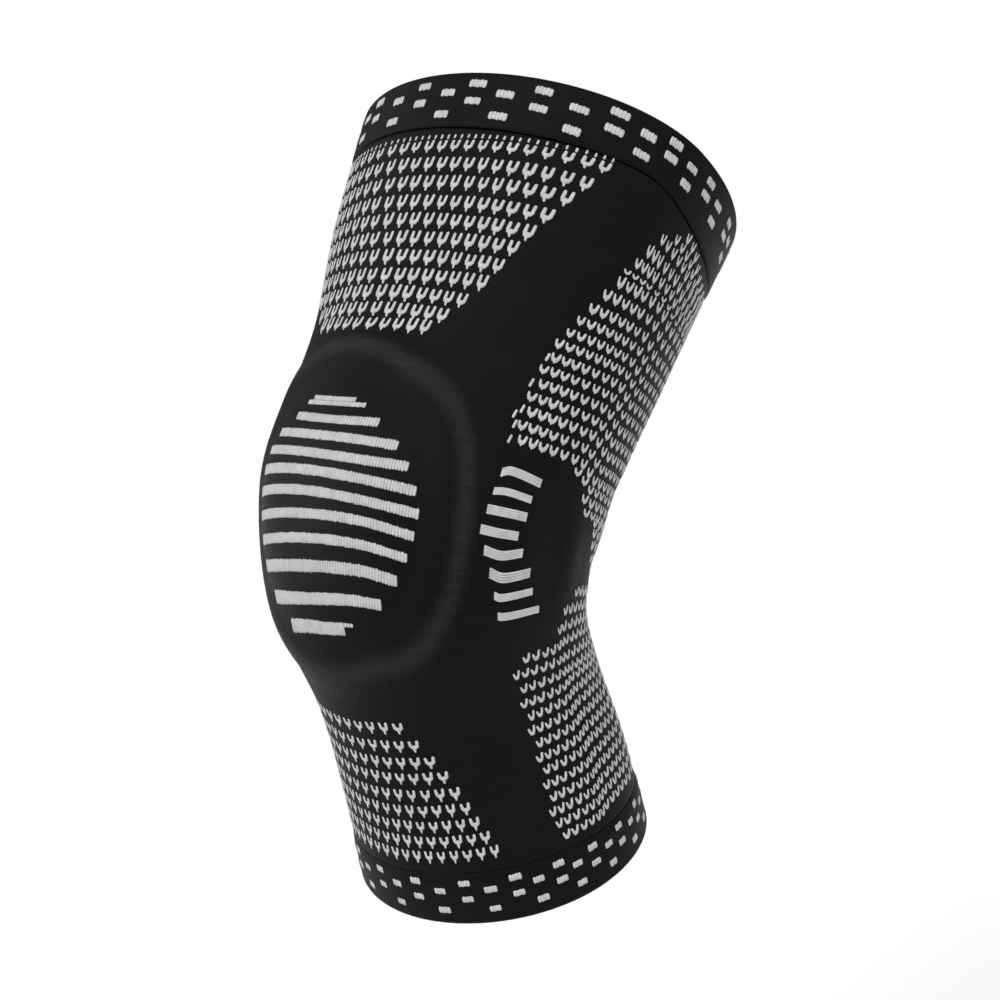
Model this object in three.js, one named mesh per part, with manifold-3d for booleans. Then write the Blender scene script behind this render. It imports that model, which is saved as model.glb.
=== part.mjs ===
// A knitted compression sleeve for a bent knee: a tapered tube with a folded cuff at each end
// and a padded ring around the kneecap. Millimetres, +Z up, the kneecap towards -Y.
// The origin is the middle of the knee, inside the hollow.
import * as THREE from "three";
import { mergeVertices } from "three/addons/utils/BufferGeometryUtils.js";
import Module from "manifold-3d";

// Reach of the sleeve's middle line from the knee, up to the thigh rim and down to the calf rim,
// and how far each rim's middle sits behind the knee
const thighReach = 137;
const thighSetBack = 61.5;
const calfReach = 136;
const calfSetBack = 40;

// Outer sizes across the middle line: half the width, and the depths to the front and the rear
const thighHalfWidth = 79;
const thighFront = 62.5;
const thighRear = 89.8;
const kneeHalfWidth = 64;
const kneeFront = 67;
const kneeRear = 60.5;
const calfHalfWidth = 59;
const calfFront = 56.5;
const calfRear = 59.5;

// Knit, cuffs and the seams between them
const wall = 2.4;
const cuffThickness = 3.2;
const cuffProud = 0.5;
const thighCuffHeight = 19.5;
const calfCuffHeight = 21;
const seamLap = 5;
const clearance = 0.3;

// The knit rows at the thigh seam dip towards the rear, and those within reach below them follow
const rowDip = 13;
const dipReach = 34;

// Padded ring around the kneecap, measured along the sleeve from the knee's middle and around it
const ringWidest = -8;
const ringAbove = 60;
const ringBelow = 37;
const ringHalfWidth = 54;
const ringBand = 16;
const ringSwell = 1.8;
const ringInside = 1.4;
const ringEdge = 1.2;

// Fineness of the facets
const columns = 52;
const outerRows = 42;
const innerRows = 18;
const ringSteps = 44;
const ringLanes = 5;

// The sizes that each zone of the sleeve follows
const thigh = { reach: thighReach, back: thighSetBack, side: thighHalfWidth, front: thighFront, rear: thighRear };
const aboveKnee = { reach: thighReach, back: thighSetBack, side: kneeHalfWidth, front: kneeFront, rear: kneeRear };
const belowKnee = { reach: -calfReach, back: calfSetBack, side: kneeHalfWidth, front: kneeFront, rear: kneeRear };
const calf = { reach: -calfReach, back: calfSetBack, side: calfHalfWidth, front: calfFront, rear: calfRear };

// Cross sections from the calf rim to the thigh rim. Every column but tilt, in degrees, is a share
// of the zone's size of the same name.
const sections = [
  { zone: calf, reach: 1, back: 1, tilt: -16.5, side: 1, front: 1, rear: 1 },
  { zone: calf, reach: 0.715, back: 0.7, tilt: -14, side: 0.95, front: 1.01, rear: 0.955 },
  { zone: calf, reach: 0.46, back: 0.35, tilt: -11, side: 0.915, front: 1, rear: 0.915 },
  { zone: belowKnee, reach: 0.23, back: 0, tilt: 0, side: 0.925, front: 0.92, rear: 0.92 },
  { zone: belowKnee, reach: 0, back: 0, tilt: 17.5, side: 1, front: 1, rear: 1 },
  { zone: aboveKnee, reach: 0.22, back: 0.195, tilt: 18, side: 1.02, front: 0.97, rear: 1.1 },
  { zone: thigh, reach: 0.44, back: 0.43, tilt: 18.5, side: 0.86, front: 0.99, rear: 0.835 },
  { zone: thigh, reach: 0.71, back: 0.66, tilt: 22, side: 0.94, front: 0.965, rear: 0.935 },
  { zone: thigh, reach: 1, back: 1, tilt: 28.5, side: 1, front: 1, rear: 1 },
];
const kneeSection = sections.findIndex((s) => s.reach === 0);

// Folds of the knit behind the knee, the same on both sides. Places are shares: up the thigh's
// reach or down the calf's, and of a turn from the front, as lengths are. Depth is a share of the
// wall.
const folds = [
  { at: 0.15, turn: 0.5, length: 0.26, spread: 0.09, depth: 0.55 },
  { at: -0.05, turn: 0.5, length: 0.28, spread: 0.08, depth: 0.7 },
];

const middleLine = through(sections.map((s) => [0, s.back * s.zone.back, s.reach * s.zone.reach]));
const widths = through(sections.map((s) => [s.side * s.zone.side, s.front * s.zone.front, s.rear * s.zone.rear]));
const tilts = through(sections.map((s) => [THREE.MathUtils.degToRad(s.tilt), 0, 0]));
const distances = distancesFromKnee();
const thighRim = distances.at(-1);
const calfRim = distances[0];
const thighSeam = thighRim - thighCuffHeight;
const calfSeam = calfRim + calfCuffHeight;
const kneeSizes = widths.getPoint(kneeSection / (sections.length - 1));
const kneeGirth = Math.PI * (kneeSizes.x + (kneeSizes.y + kneeSizes.z) / 2);

// A smooth curve through rows of three values, one row a section
function through(rows) {
  const points = rows.map((row) => new THREE.Vector3(...row));
  return new THREE.CatmullRomCurve3(points, false, "catmullrom", 0.5);
}

// Distance along the middle line from the knee at evenly spaced stations, the calf's negative
function distancesFromKnee() {
  const steps = 50 * (sections.length - 1);
  const list = [0];
  let last = middleLine.getPoint(0);
  for (let i = 1; i <= steps; i++) {
    const next = middleLine.getPoint(i / steps);
    list.push(list[i - 1] + next.distanceTo(last));
    last = next;
  }
  const knee = list[(steps * kneeSection) / (sections.length - 1)];
  return list.map((d) => d - knee);
}

// The station, 0 at the calf rim and 1 at the thigh rim, that lies a distance along from the knee
function stationAt(along) {
  const last = distances.length - 1;
  let i = distances.findIndex((d) => d >= along);
  if (i < 0) i = last;
  i = Math.max(i, 1);
  const share = (along - distances[i - 1]) / (distances[i] - distances[i - 1]);
  return THREE.MathUtils.clamp((i - 1 + share) / last, 0, 1);
}

// A point of the smooth tube, at a distance along from the knee and a turn from the front
function tubePoint(along, turn) {
  const station = stationAt(along);
  const centre = middleLine.getPoint(station);
  const size = widths.getPoint(station);
  const tilt = tilts.getPoint(station).x;
  const angle = 2 * Math.PI * turn;
  const rearward = Math.cos(angle) > 0 ? -size.y * Math.cos(angle) : -size.z * Math.cos(angle);
  const place = new THREE.Vector3(size.x * Math.sin(angle), rearward * Math.cos(tilt), -rearward * Math.sin(tilt));
  return place.add(centre);
}

// The direction out of the smooth tube
function outward(along, turn) {
  const nudge = 0.5;
  const share = nudge / kneeGirth;
  const above = tubePoint(Math.min(along + nudge, thighRim), turn);
  const below = tubePoint(Math.max(along - nudge, calfRim), turn);
  const up = above.sub(below);
  const around = tubePoint(along, turn + share).sub(tubePoint(along, turn - share));
  return around.cross(up).normalize();
}

// Where the ring's middle line lies: angle 0 at the right, a quarter turn at the top
function ringPlace(angle) {
  const height = Math.sin(angle) > 0 ? ringAbove : ringBelow;
  return { along: ringWidest + height * Math.sin(angle), turn: (ringHalfWidth / kneeGirth) * Math.cos(angle) };
}

// Distance of a place on the knit from the ring's middle line, negative inside the ring
function offRing(along, turn) {
  const height = along > ringWidest ? ringAbove : ringBelow;
  const up = (along - ringWidest) / height;
  const across = (nearestTurn(turn) * kneeGirth) / ringHalfWidth;
  const radius = Math.hypot(up, across);
  const slope = Math.hypot(up / height, across / ringHalfWidth) / Math.max(radius, 1e-6);
  return (radius - 1) / Math.max(slope, 1e-6);
}

// A turn brought to between -0.5 and 0.5
function nearestTurn(turn) {
  return turn - Math.round(turn);
}

// A smooth bump, 1 in the middle and 0 from a distance of 1
function bump(distance) {
  return Math.abs(distance) < 1 ? Math.cos((Math.PI / 2) * distance) ** 2 : 0;
}

// How far the knit stands out over the ring
function ringSwellAt(along, turn) {
  return ringSwell * bump(offRing(along, turn) / (0.7 * ringBand));
}

// How far the folds behind the knee press the knit in
function foldAt(along, turn) {
  let depth = 0;
  for (const fold of folds) {
    const reach = fold.at > 0 ? thighRim : -calfRim;
    const offside = (Math.abs(nearestTurn(turn)) - fold.turn) / fold.length;
    const above = (along / reach - fold.at) / fold.spread;
    depth += fold.depth * wall * bump(offside) * bump(above);
  }
  return depth;
}

// A point of the finished knit, a depth under its outer face. The swell over the ring is left out
// of the inner face, which the ring's pocket cuts instead.
function knitPoint(along, turn, depth, swollen) {
  const inwards = depth + foldAt(along, turn) - (swollen ? ringSwellAt(along, turn) : 0);
  return tubePoint(along, turn).addScaledVector(outward(along, turn), -inwards);
}

// Where a knit row lies at a turn from the front: in full by the thigh seam, less towards the rim
// and over the reach below, the row dips towards the rear
function dipped(along, turn) {
  const full = seamLap + 1;
  const toRim = (thighRim - along) / (thighCuffHeight - full);
  const fromBelow = (along - thighSeam + full + dipReach) / dipReach;
  const share = THREE.MathUtils.clamp(Math.min(toRim, fromBelow), 0, 1);
  return along - rowDip * share * THREE.MathUtils.smoothstep(Math.abs(nearestTurn(turn)), 0.19, 0.35);
}

// A closed ring of profile points, each { along, depth, swollen }, carried around the tube
function tube(profile) {
  const points = [];
  for (let i = 0; i < columns; i++) {
    for (const p of profile) {
      const turn = i / columns;
      points.push(knitPoint(dipped(p.along, turn), turn, p.depth, p.swollen));
    }
  }
  return grid(points, columns, profile.length);
}

// A closed surface over a grid of points that joins up with itself both ways
function grid(points, around, across) {
  const corners = [];
  for (let i = 0; i < around; i++) {
    for (let j = 0; j < across; j++) {
      const a = i * across + j;
      const b = i * across + ((j + 1) % across);
      const c = ((i + 1) % around) * across + ((j + 1) % across);
      const d = ((i + 1) % around) * across + j;
      corners.push(a, d, c, a, c, b);
    }
  }
  const geometry = new THREE.BufferGeometry().setFromPoints(points);
  return geometry.setIndex(corners);
}

// Rows from one distance along to another, at one depth
function rows(from, to, count, depth, swollen = false) {
  const list = [];
  for (let i = 0; i <= count; i++) list.push({ along: from + ((to - from) * i) / count, depth, swollen });
  return list;
}

const cuffFace = -cuffProud;
const foldLine = cuffThickness / 2 - cuffProud;
const cuffInside = cuffThickness - cuffProud;

// The knitted tube. Each end is thinned to a tongue that slips under the outer layer of its cuff.
function sleeveBody() {
  const tongue = foldLine + clearance;
  const topEnd = thighSeam + seamLap - clearance;
  const lowEnd = calfSeam - seamLap + clearance;
  return tube([
    ...rows(calfSeam + clearance, thighSeam - clearance, outerRows, 0, true),
    { along: thighSeam - clearance, depth: tongue },
    { along: topEnd, depth: tongue },
    ...rows(topEnd, lowEnd, innerRows, wall),
    { along: lowEnd, depth: tongue },
    { along: calfSeam + clearance, depth: tongue },
  ]);
}

// A folded welt: full thickness from the end of the lap to the rim, and the outer layer alone over
// the body's tongue. Its rim is round, as a fold is.
function cuff(seam, rim) {
  const upwards = Math.sign(rim - seam);
  const lapEnd = seam + upwards * seamLap;
  const rimStart = rim - upwards * (cuffThickness / 2);
  const profile = rows(seam, rimStart, 3, cuffFace);
  const turns = 4;
  for (let i = 1; i < turns; i++) {
    const angle = (Math.PI * i) / turns;
    const along = rimStart + upwards * (cuffThickness / 2) * Math.sin(angle);
    profile.push({ along, depth: foldLine - (cuffThickness / 2) * Math.cos(angle) });
  }
  profile.push(...rows(rimStart, lapEnd, 2, cuffInside));
  profile.push({ along: lapEnd, depth: foldLine }, { along: seam, depth: foldLine });
  return tube(upwards > 0 ? profile : profile.reverse());
}

// The padded ring, seen across its band: outer face just under the knit, inner face a little proud
// of the knit towards the leg. Grown, it is the pocket that the knit leaves for it.
function ring(grown) {
  const points = [];
  const halfBand = ringBand / 2 + grown;
  const lanes = [];
  for (let j = 0; j <= ringLanes; j++) lanes.push(1 - (2 * j) / ringLanes);
  for (let i = 0; i < ringSteps; i++) {
    const angle = (2 * Math.PI * i) / ringSteps;
    for (const lane of lanes) points.push(ringPoint(angle, lane * halfBand, outerDepth(lane) - grown));
    for (const lane of [...lanes].reverse()) {
      const inside = grown ? wall + 2 * (ringInside + ringEdge) : innerDepth(lane);
      points.push(ringPoint(angle, lane * halfBand, inside));
    }
  }
  return grid(points, ringSteps, 2 * lanes.length);
}

// Depths of the ring's faces under the knit's outer face, across the band from -1 to 1
function outerDepth(lane) {
  return wall + clearance - ringSwell * bump(lane / 1.4);
}
function innerDepth(lane) {
  return wall + ringEdge + ringInside * bump(lane / 1.4);
}

// A point beside the ring's middle line, a distance out from it and a depth under the smooth tube
function ringPoint(angle, out, depth) {
  const nudge = 0.01;
  const here = ringPlace(angle);
  const next = ringPlace(angle + nudge);
  const last = ringPlace(angle - nudge);
  const course = new THREE.Vector2((next.turn - last.turn) * kneeGirth, next.along - last.along).normalize();
  const along = here.along - out * course.x;
  const turn = here.turn + (out * course.y) / kneeGirth;
  return tubePoint(along, turn).addScaledVector(outward(along, turn), -depth);
}

const wasm = await Module();
wasm.setup();

function solidOf(geometry) {
  const merged = mergeVertices(geometry, 1e-3);
  const vertProperties = merged.attributes.position.array;
  return new wasm.Manifold(new wasm.Mesh({ numProp: 3, vertProperties, triVerts: new Uint32Array(merged.index.array) }));
}

function geometryOf(solid) {
  const mesh = solid.getMesh();
  const geometry = new THREE.BufferGeometry();
  geometry.setAttribute("position", new THREE.BufferAttribute(mesh.vertProperties, 3));
  return geometry.setIndex(new THREE.BufferAttribute(mesh.triVerts, 1));
}

const knit = new THREE.MeshStandardMaterial({ color: 0x17181a, roughness: 0.85, metalness: 0 });
const welt = new THREE.MeshStandardMaterial({ color: 0x131416, roughness: 0.9, metalness: 0 });
const gel = new THREE.MeshStandardMaterial({ color: 0x2a2b2e, roughness: 0.5, metalness: 0 });

function piece(name, geometry, material) {
  const mesh = new THREE.Mesh(geometry, material);
  mesh.name = name;
  return mesh;
}

const body = geometryOf(solidOf(sleeveBody()).subtract(solidOf(ring(clearance))));
const sleeve = new THREE.Group();
sleeve.add(piece("sleeve_body", body, knit));
sleeve.add(piece("thigh_cuff", cuff(thighSeam, thighRim), welt));
sleeve.add(piece("calf_cuff", cuff(calfSeam, calfRim), welt));
sleeve.add(piece("kneecap_ring", ring(0), gel));

export default sleeve;
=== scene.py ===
import math

import bpy
import numpy as np
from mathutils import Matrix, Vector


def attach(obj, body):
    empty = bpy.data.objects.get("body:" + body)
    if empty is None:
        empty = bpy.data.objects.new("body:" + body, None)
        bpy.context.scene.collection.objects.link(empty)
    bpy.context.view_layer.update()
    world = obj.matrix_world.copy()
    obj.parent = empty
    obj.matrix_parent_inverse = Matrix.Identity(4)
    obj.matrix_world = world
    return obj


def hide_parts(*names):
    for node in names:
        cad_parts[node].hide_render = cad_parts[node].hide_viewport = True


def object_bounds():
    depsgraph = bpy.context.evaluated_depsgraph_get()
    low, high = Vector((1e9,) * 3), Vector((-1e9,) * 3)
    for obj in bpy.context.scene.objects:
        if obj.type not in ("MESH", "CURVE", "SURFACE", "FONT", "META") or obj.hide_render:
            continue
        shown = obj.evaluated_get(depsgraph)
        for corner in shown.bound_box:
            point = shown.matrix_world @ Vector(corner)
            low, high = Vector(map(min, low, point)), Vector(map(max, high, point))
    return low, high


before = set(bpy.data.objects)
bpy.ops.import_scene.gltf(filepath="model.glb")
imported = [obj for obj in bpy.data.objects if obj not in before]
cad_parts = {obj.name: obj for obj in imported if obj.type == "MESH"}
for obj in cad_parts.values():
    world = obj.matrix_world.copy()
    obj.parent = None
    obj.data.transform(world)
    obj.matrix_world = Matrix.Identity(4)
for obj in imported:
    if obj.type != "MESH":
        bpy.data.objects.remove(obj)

bl_info = {
    "name": "Knitted knee sleeve",
    "version": (1, 0, 0),
    "blender": (4, 5, 0),
    "location": "View3D > Sidebar > Knee sleeve",
    "description": "Knits the cloth, yarn figures, cuffs and ring of a knee sleeve over its solid model",
    "category": "Object",
}

MM = 0.001
CAD_BOX = [list(corner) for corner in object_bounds()]

# The tube. Lengths are in millimetres, and "along" is the distance up the sleeve's middle line from
# the knee. "Turn" is a share of the way round from the front, growing towards +X.

THIGH_REACH, THIGH_SET_BACK = 137, 61.5
CALF_REACH, CALF_SET_BACK = -136, 40
KNEE = (64, 67, 60.5)
THIGH = (79, 62.5, 89.8)
CALF = (59, 56.5, 59.5)

# Cross sections from the calf rim to the thigh rim. Sizes are half width, front and rear.
SECTIONS = [
    # (set back, height, tilt in degrees, shares of the sizes, sizes)
    (CALF_SET_BACK, CALF_REACH, -16.5, (1, 1, 1), CALF),
    (0.7 * CALF_SET_BACK, 0.715 * CALF_REACH, -14, (0.95, 1.01, 0.955), CALF),
    (0.35 * CALF_SET_BACK, 0.46 * CALF_REACH, -11, (0.915, 1, 0.915), CALF),
    (0, 0.23 * CALF_REACH, 0, (0.925, 0.92, 0.92), KNEE),
    (0, 0, 17.5, (1, 1, 1), KNEE),
    (0.195 * THIGH_SET_BACK, 0.22 * THIGH_REACH, 18, (1.02, 0.97, 1.1), KNEE),
    (0.43 * THIGH_SET_BACK, 0.44 * THIGH_REACH, 18.5, (0.86, 0.99, 0.835), THIGH),
    (0.66 * THIGH_SET_BACK, 0.71 * THIGH_REACH, 22, (0.94, 0.965, 0.935), THIGH),
    (THIGH_SET_BACK, THIGH_REACH, 28.5, (1, 1, 1), THIGH),
]
KNEE_SECTION = 4
KNEE_GIRTH = math.pi * (KNEE[0] + (KNEE[1] + KNEE[2]) / 2)

# Thickness of the cloth and of the cuffs, the cuffs' heights, their lap with the body, and how far the
# knit rows by the thigh seam dip towards the rear
WALL = 2.4
CUFF_THICKNESS = 3.2
CUFF_PROUD = 0.5
THIGH_CUFF_HEIGHT = 19.5
CALF_CUFF_HEIGHT = 21
SEAM_LAP = 5
ROW_DIP = 13
DIP_REACH = 34
DIP_TURNS = (0.19, 0.35)
FOLD_LINE = CUFF_THICKNESS / 2 - CUFF_PROUD
CLEARANCE = 0.3

# Folds behind the knee: centre along, centre turn, half length in turns, half height, depth
FOLDS = [
    (22.6, 0.5, 0.26, 13.5, 1.32),
    (-7.2, 0.5, 0.28, 11.5, 1.68),
]

# Soft relief of the cloth on both sides of the knee, where it is drawn over the joint: centre along
# and turn, half height, half width in turns, rise
SIDE_RELIEF = [
    (-4, 0.232, 34, 0.022, -0.75),
    (-8, 0.268, 26, 0.026, 0.7),
    (-2, 0.216, 42, 0.012, -0.35),
]

# Lean of the columns of stitches above and below the knee, in turns a millimetre, and where it starts
THIGH_TICK_LEAN, THIGH_TICK_LEAN_FROM = -0.00085, 57.5
CALF_TICK_LEAN, CALF_TICK_LEAN_FROM = 0.00099, -50

# The padded ring round the kneecap, inside the cloth, and how far it raises the cloth
RING_WIDEST = -8
RING_ABOVE = 60
RING_BELOW = 37
RING_HALF_WIDTH = 54
RING_BAND = 16
RING_SWELL = 1.8
RING_INSIDE = 1.4
RING_EDGE = 1.2
RISE_REACH = 0.7 * RING_BAND

# The pale band over the ring, mostly a painted highlight and partly paler stretched cloth: its reach to both
# sides of the crest, how far out it moves at the sides and between which turns it gets there, its strength,
# and the share of it below the knee and where that ends
CREST_REACH = 0.35 * RING_BAND
CREST_SHIFT, CREST_SHIFT_TURNS = 5, (0.05, 0.12)
CREST_STRENGTH, CREST_BELOW, CREST_BELOW_END = 1.15, 0.85, (-20, 30)

# The painted highlight over the kneecap: along and turn of its middle, half width in turns, half height,
# strength
KNEECAP_HIGHLIGHT = (-4, 0.005, 0.09, 42, 0.75)


def through(rows, share):
    """Points of a smooth curve through rows of values, at shares of the way from the first to the last."""
    rows = np.asarray(rows, float)
    rows = np.vstack([2 * rows[0] - rows[1], rows, 2 * rows[-1] - rows[-2]])
    spans = len(rows) - 3
    place = np.clip(share, 0, 1) * spans
    first = np.minimum(place.astype(int), spans - 1)
    w = (place - first)[..., None]
    a, b, c, d = (rows[first + k] for k in range(4))
    leave, arrive = (c - a) / 2, (d - b) / 2
    cubic = 2 * b - 2 * c + leave + arrive
    square = 3 * c - 3 * b - 2 * leave - arrive
    return cubic * w**3 + square * w**2 + leave * w + b


MIDDLE = [(s[0], s[1]) for s in SECTIONS]
WIDTHS = [[share * size for share, size in zip(s[3], s[4])] for s in SECTIONS]
TILTS = [[math.radians(s[2])] for s in SECTIONS]


def distances_from_knee():
    """Distance along the middle line from the knee, at even stations from rim to rim."""
    steps = 50 * (len(SECTIONS) - 1)
    line = through(MIDDLE, np.linspace(0, 1, steps + 1))
    far = np.concatenate([[0], np.cumsum(np.linalg.norm(np.diff(line, axis=0), axis=1))])
    return far - far[50 * KNEE_SECTION]


DISTANCES = distances_from_knee()
STATIONS = np.linspace(0, 1, len(DISTANCES))
THIGH_RIM = float(DISTANCES[-1])
CALF_RIM = float(DISTANCES[0])
THIGH_SEAM = THIGH_RIM - THIGH_CUFF_HEIGHT
CALF_SEAM = CALF_RIM + CALF_CUFF_HEIGHT


def bump(distance):
    """A smooth bump, 1 in the middle and 0 from a distance of 1."""
    return np.where(np.abs(distance) < 1, np.cos(np.pi / 2 * np.clip(distance, -1, 1)) ** 2, 0)


def smooth_step(value, low, high):
    """0 up to low and 1 from high, with a smooth rise between."""
    share = np.clip((value - low) / (high - low), 0, 1)
    return share * share * (3 - 2 * share)


def nearest_turn(turn):
    """A turn brought to between -0.5 and 0.5."""
    return turn - np.round(turn)


def tube_point(along, turn):
    """Points of the smooth tube."""
    along, turn = np.broadcast_arrays(np.asarray(along, float), np.asarray(turn, float))
    station = np.interp(along, DISTANCES, STATIONS)
    middle = through(MIDDLE, station)
    size = through(WIDTHS, station)
    tilt = through(TILTS, station)[..., 0]
    angle = 2 * np.pi * turn
    depth = np.where(np.cos(angle) > 0, size[..., 1], size[..., 2])
    rearward = -depth * np.cos(angle)
    x = size[..., 0] * np.sin(angle)
    y = middle[..., 0] + rearward * np.cos(tilt)
    z = middle[..., 1] - rearward * np.sin(tilt)
    return np.stack([x, y, z], -1)


def outward(along, turn):
    """Unit vectors out of the smooth tube."""
    nudge = 0.5
    share = nudge / KNEE_GIRTH
    above = tube_point(np.minimum(along + nudge, THIGH_RIM), turn)
    below = tube_point(np.maximum(along - nudge, CALF_RIM), turn)
    around = tube_point(along, turn + share) - tube_point(along, turn - share)
    out = np.cross(around, above - below)
    return out / np.linalg.norm(out, axis=-1, keepdims=True)


def off_ring(along, turn):
    """Distance of places on the cloth from the ring's middle line, negative inside the ring."""
    height = np.where(along > RING_WIDEST, RING_ABOVE, RING_BELOW)
    up = (along - RING_WIDEST) / height
    across = nearest_turn(turn) * KNEE_GIRTH / RING_HALF_WIDTH
    radius = np.maximum(np.hypot(up, across), 1e-6)
    slope = np.hypot(up / height, across / RING_HALF_WIDTH) / radius
    return (radius - 1) / np.maximum(slope, 1e-6)


def rise(along, turn):
    """How far the cloth stands out from the smooth tube: over the ring, in the folds and at the sides."""
    up = RING_SWELL * bump(off_ring(along, turn) / RISE_REACH)
    for centre, middle, length, height, depth in FOLDS:
        aside = (np.abs(nearest_turn(turn)) - middle) / length
        up = up - depth * bump(aside) * bump((along - centre) / height)
    for centre, middle, height, width, lift in SIDE_RELIEF:
        aside = (np.abs(nearest_turn(turn)) - middle) / width
        up = up + lift * bump(aside) * bump((along - centre) / height)
    return up


def painted_highlight(along, turn):
    """How strong the painted highlight is, as a share: over the ring's crest, where it stands in part for
    paler stretched cloth and shows a little further out at the sides and less below the knee, and over the
    kneecap."""
    across = nearest_turn(turn)
    shown = off_ring(along, turn) - CREST_SHIFT * smooth_step(np.abs(across), *CREST_SHIFT_TURNS)
    crest = CREST_STRENGTH * bump(shown / CREST_REACH)
    crest = crest * (CREST_BELOW + (1 - CREST_BELOW) * smooth_step(along, *CREST_BELOW_END))
    middle, centre, width, height, strength = KNEECAP_HIGHLIGHT
    return crest + strength * bump((across - centre) / width) * bump((along - middle) / height)


def dipped(along, turn):
    """Where knit rows lie at a turn: by the thigh seam they dip towards the rear."""
    full = SEAM_LAP + 1
    to_rim = (THIGH_RIM - along) / (THIGH_CUFF_HEIGHT - full)
    from_below = (along - THIGH_SEAM + full + DIP_REACH) / DIP_REACH
    share = np.clip(np.minimum(to_rim, from_below), 0, 1)
    return along - ROW_DIP * share * smooth_step(np.abs(nearest_turn(turn)), *DIP_TURNS)


def knit_point(along, turn, depth=0.0):
    """Points of the cloth, in metres, a depth in millimetres under its outer face."""
    along, turn, depth = np.broadcast_arrays(*(np.asarray(v, float) for v in (along, turn, depth)))
    row = dipped(along, turn)
    lift = (rise(row, turn) - depth)[..., None]
    return (tube_point(row, turn) + outward(row, turn) * lift) * MM


def knit_axes(along, turn):
    """Unit vectors out of the cloth and up its columns of stitches."""
    along, turn = np.broadcast_arrays(np.asarray(along, float), np.asarray(turn, float))
    step, share = 0.6, 0.6 / KNEE_GIRTH
    up = knit_point(along + step, turn) - knit_point(along - step, turn)
    around = knit_point(along, turn + share) - knit_point(along, turn - share)
    out = np.cross(around, up)
    out /= np.linalg.norm(out, axis=-1, keepdims=True)
    column = up - (up * out).sum(-1)[..., None] * out
    column /= np.linalg.norm(column, axis=-1, keepdims=True)
    return out, column


def centre_turn(along):
    """The turn of the figures' line of symmetry, which leans with the stitches away from the knee."""
    above = THIGH_TICK_LEAN * np.maximum(0, along - THIGH_TICK_LEAN_FROM)
    below = CALF_TICK_LEAN * np.minimum(0, along - CALF_TICK_LEAN_FROM)
    return above + below


# Meshes


def new_piece(name, vertices, faces, material=None):
    """A mesh object at the origin, its vertices in metres."""
    mesh = bpy.data.meshes.new(name)
    mesh.from_pydata([tuple(v) for v in vertices], [], faces)
    mesh.polygons.foreach_set("use_smooth", [True] * len(mesh.polygons))
    mesh.update()
    piece = bpy.data.objects.new(name, mesh)
    bpy.context.scene.collection.objects.link(piece)
    if material:
        mesh.materials.append(material)
    return piece


def carried_round(name, profile, columns, material):
    """A closed shell: a profile of rows, each (along, depth), carried round the tube."""
    along = np.array([p[0] for p in profile])
    depth = np.array([p[1] for p in profile])
    turn = np.arange(columns) / columns
    points = knit_point(along[None, :], turn[:, None], depth[None, :])
    rows = len(profile)
    i, j = np.meshgrid(np.arange(columns), np.arange(rows), indexing="ij")
    a = i * rows + j
    b = i * rows + (j + 1) % rows
    c = (i + 1) % columns * rows + (j + 1) % rows
    d = (i + 1) % columns * rows + j
    faces = np.stack([a, d, c, b], -1).reshape(-1, 4)
    piece = new_piece(name, points.reshape(-1, 3), faces.tolist(), material)
    knit_map = piece.data.uv_layers.new(name="knit")
    u = np.stack([i, i + 1, i + 1, i], -1) / columns * KNEE_GIRTH * MM
    height = np.concatenate([along, along[:1]]) * MM
    v = np.stack([height[j], height[j], height[j + 1], height[j + 1]], -1)
    knit_map.data.foreach_set("uv", np.stack([u, v], -1).reshape(-1))
    row, round_at = dipped(along[None, :], turn[:, None]), np.broadcast_to(turn[:, None], points.shape[:2])
    # Strength of the painted highlight over the ring's crest and the kneecap, kept on each point for the
    # knit's colour
    taut = piece.data.attributes.new("taut", "FLOAT", "POINT")
    taut.data.foreach_set("value", painted_highlight(row, round_at).reshape(-1))
    return piece


def rows_between(start, end, step, depth):
    """Profile rows from one place along to another, about a step apart."""
    count = max(1, round(abs(end - start) / step))
    return [(start + (end - start) * k / count, depth) for k in range(count + 1)]


# Shader nodes

# The knit: scale of the noise that draws streaks along its rows, the shares of streaks and of mottle in
# its tone, and its shades from dark to light as shares of its colour, plain and under the painted highlight
STREAK_SCALE = (28, 1150, 1)
STREAK_SHARE, MOTTLE_SHARE = 0.65, 0.35
PLAIN_SHADES, HIGHLIGHT_SHADES = (0.45, 1.45), (2.8, 8.6)

# The knit's gloss: reflection, sheen and how rough it is, and the strength of the stitches' bump
KNIT_REFLECTION, KNIT_SHEEN, KNIT_SHEEN_ROUGHNESS, KNIT_BUMP = 0.078, 0.003, 0.4, 0.6

# Finishes with a fine grain: size of the grain, darkest shade as a share of the colour, roughness in the
# grain's hollows and on its crests, reflection, and the depth and strength of the grain's bump
YARN_GRAIN = (0.0007, 0.82, (0.95, 0.8), 0.2, 0.00012, 0.5)
GEL_GRAIN = (0.0016, 0.85, (0.42, 0.55), 0.5, 0.00008, 0.4)


def socket(group, name, kind, default=None, output=False):
    """A named socket of a node group."""
    item = group.interface.new_socket(name=name, in_out="OUTPUT" if output else "INPUT", socket_type=kind)
    if default is not None:
        item.default_value = default
    return item


def shader_group(name, inputs, outputs):
    """An empty shader node group with its sockets, and its two end nodes."""
    group = bpy.data.node_groups.new(name, "ShaderNodeTree")
    for label, kind, default in inputs:
        socket(group, label, kind, default)
    for label, kind in outputs:
        socket(group, label, kind, output=True)
    return group, group.nodes.new("NodeGroupInput"), group.nodes.new("NodeGroupOutput")


def math_node(tree, operation, *values):
    """A math node; each value is a number or a socket to link."""
    node = tree.nodes.new("ShaderNodeMath")
    node.operation = operation
    for k, value in enumerate(values):
        if isinstance(value, bpy.types.NodeSocket):
            tree.links.new(value, node.inputs[k])
        else:
            node.inputs[k].default_value = value
    return node.outputs[0]


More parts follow.
